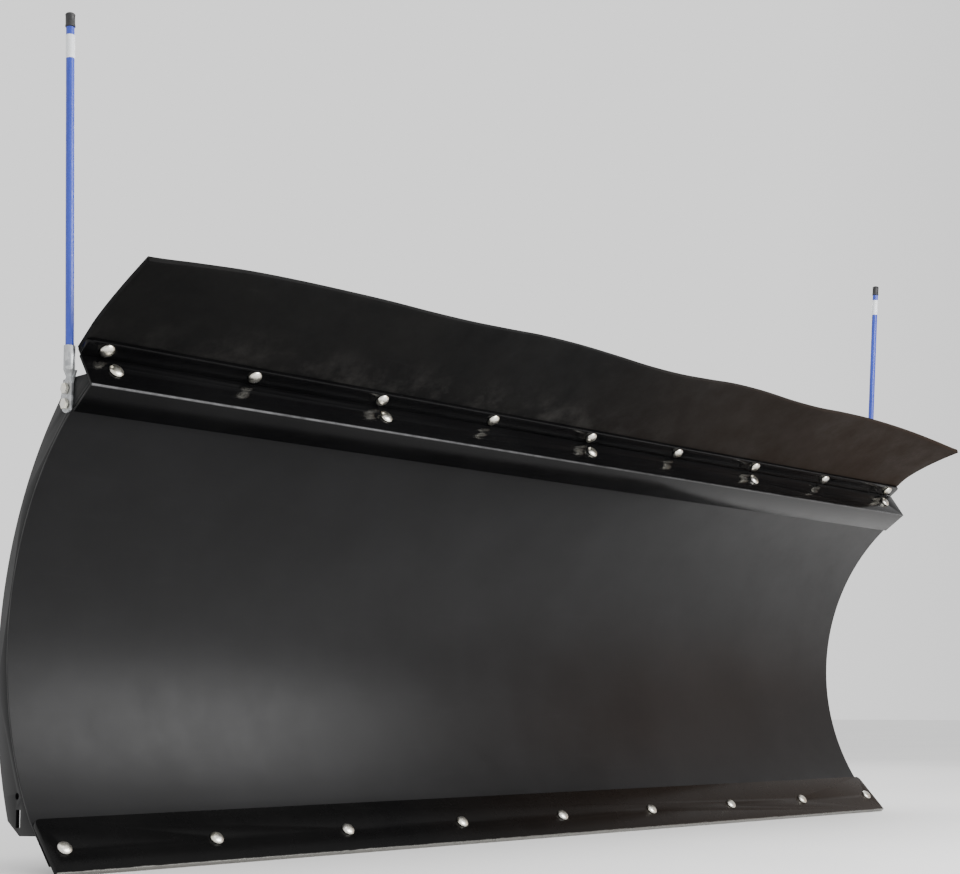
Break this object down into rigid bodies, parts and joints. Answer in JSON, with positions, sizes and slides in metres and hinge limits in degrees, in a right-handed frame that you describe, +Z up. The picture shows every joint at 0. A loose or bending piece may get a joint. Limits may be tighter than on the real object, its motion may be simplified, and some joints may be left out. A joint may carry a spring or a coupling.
{
  "type": "atv plow blade",
  "caption": "Curved steel snow plow blade with a bolted wear bar, a rubber deflector clamped along its top, end markers, rear ribs, pivot clevises and skid shoes.",
  "frame": {"origin": "middle of the bounding box, on the floor that the wear bar and the skid shoes stand on", "axes": "+X along the blade to its right end as seen from the front, +Y to the rear, +Z up"},
  "size_m": [1.6972, 0.3958, 0.9562],
  "materials": {
    "black_paint": "satin black powder coat",
    "wear_bar_paint": "semi-gloss black powder coat",
    "rubber_sheet": "matte black rubber sheet, slightly dusty",
    "zinc_plate": "bright zinc plate",
    "galvanised_steel": "dull galvanised steel",
    "marker_plastic": "royal blue plastic rod",
    "cap_plastic": "black vinyl cap"
  },
  "bodies": {
    "blade": {"moldboard": "black_paint", "top_angle": "black_paint", "flap_bracket": "black_paint", "clamp_bar": "black_paint", "rib_left_end": "black_paint", "rib_right_end": "black_paint", "rib_left_inner": "black_paint", "rib_right_inner": "black_paint", "upper_rail": "black_paint", "lower_rail": "black_paint", "pivot_clevis_left": "black_paint", "pivot_clevis_right": "black_paint", "spring_anchor_left": "black_paint", "spring_anchor_right": "black_paint", "skid_sleeve_left": "black_paint", "skid_sleeve_right": "black_paint", "wear_bar": "wear_bar_paint", "flap_clamped_edge": "rubber_sheet", "wear_bolt_1": "zinc_plate", "wear_bolt_2": "zinc_plate", "wear_bolt_3": "zinc_plate", "wear_bolt_4": "zinc_plate", "wear_bolt_5": "zinc_plate", "wear_bolt_6": "zinc_plate", "wear_bolt_7": "zinc_plate", "wear_bolt_8": "zinc_plate", "wear_bolt_9": "zinc_plate", "shelf_bolt_1": "zinc_plate", "shelf_bolt_2": "zinc_plate", "shelf_bolt_3": "zinc_plate", "shelf_bolt_4": "zinc_plate", "shelf_bolt_5": "zinc_plate", "flap_bolt_1": "zinc_plate", "flap_bolt_2": "zinc_plate", "flap_bolt_3": "zinc_plate", "flap_bolt_4": "zinc_plate", "flap_bolt_5": "zinc_plate", "flap_bolt_6": "zinc_plate", "flap_bolt_7": "zinc_plate", "flap_bolt_8": "zinc_plate", "flap_bolt_9": "zinc_plate", "marker_sleeve_left": "galvanised_steel", "marker_bolt_left_upper": "zinc_plate", "marker_bolt_left_lower": "zinc_plate", "marker_sleeve_right": "galvanised_steel", "marker_bolt_right_upper": "zinc_plate", "marker_bolt_right_lower": "zinc_plate"},
    "flap": {"flap": "rubber_sheet"},
    "marker_left": {"marker_rod_left": "marker_plastic", "marker_cap_left": "cap_plastic"},
    "skid_left": {"skid_post_left": "zinc_plate", "skid_shoe_left": "black_paint", "skid_pin_left": "zinc_plate", "skid_spacer_left": "zinc_plate"},
    "marker_right": {"marker_rod_right": "marker_plastic", "marker_cap_right": "cap_plastic"},
    "skid_right": {"skid_post_right": "zinc_plate", "skid_shoe_right": "black_paint", "skid_pin_right": "zinc_plate", "skid_spacer_right": "zinc_plate"}
  },
  "joints": [
    {"name": "flap_flex", "type": "hinge", "parent": "blade", "child": "flap", "pos_m": [0.0026, -0.0954, 0.59807], "axis": [1, 0, 0], "range_deg": [-35, 35], "stiffness_Nm_per_rad": 12, "springref_deg": -3.34},
    {"name": "marker_left_flex", "type": "hinge", "parent": "blade", "child": "marker_left", "pos_m": [-0.84225, -0.05633, 0.5773], "axis": [1, 0, 0], "range_deg": [-30, 30], "stiffness_Nm_per_rad": 1.5, "springref_deg": 0.06},
    {"name": "marker_right_flex", "type": "hinge", "parent": "blade", "child": "marker_right", "pos_m": [0.82935, -0.02833, 0.5773], "axis": [1, 0, 0], "range_deg": [-30, 30], "stiffness_Nm_per_rad": 1.5, "springref_deg": -0.13},
    {"name": "skid_left_slide", "type": "slide", "parent": "blade", "child": "skid_left", "axis": [0, 0, 1], "range_m": [-0.04, 0]},
    {"name": "skid_right_slide", "type": "slide", "parent": "blade", "child": "skid_right", "axis": [0, 0, 1], "range_m": [-0.04, 0]}
  ]
}
